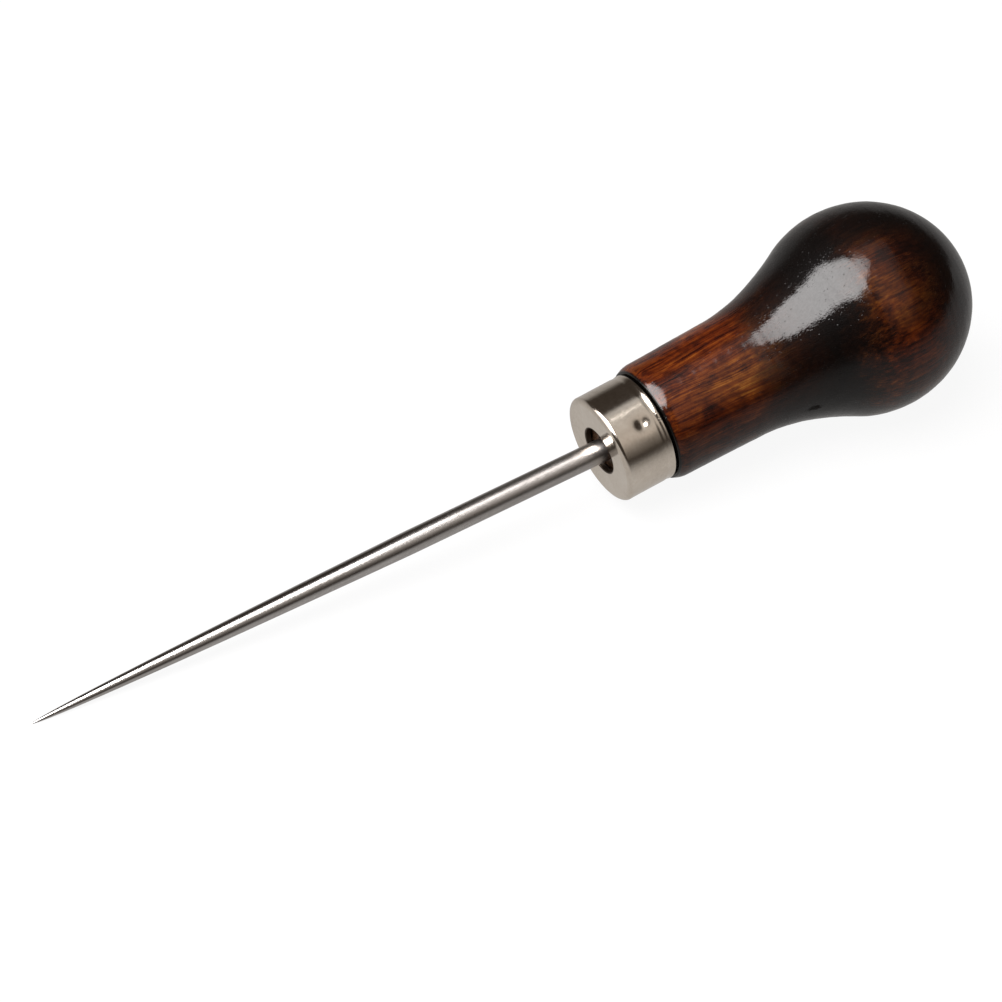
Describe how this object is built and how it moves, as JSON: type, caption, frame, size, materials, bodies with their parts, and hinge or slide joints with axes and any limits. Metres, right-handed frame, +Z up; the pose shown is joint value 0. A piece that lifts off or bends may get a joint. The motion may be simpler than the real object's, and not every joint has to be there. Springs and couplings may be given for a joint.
{
  "type": "scratch awl",
  "caption": "Scratch awl: a pear-shaped turned hardwood handle, a drawn metal ferrule staked to it, and a slim round steel blade ground to a needle point for marking leather.",
  "frame": {"origin": "middle of the underside of the bounding box, on the surface that the awl lies on", "axes": "+Z up with the awl lying at rest on its bulb and its point; +X along its length in plan, from the point towards the butt of the handle; the handle's own axis lies in the XZ plane and dips 7.70 degrees towards the point"},
  "size_m": [0.1484, 0.0304, 0.0304],
  "materials": {
    "lacquered_hardwood": "turned hardwood stained red-brown with scorched dark shading, under a glossy clear lacquer",
    "nickel_plate": "nickel-plated drawn sheet, satin with soft reflections",
    "ground_steel": "ground and polished round steel"
  },
  "bodies": {
    "root": {"handle": "lacquered_hardwood", "ferrule": "nickel_plate", "blade": "ground_steel"}
  },
  "joints": []
}
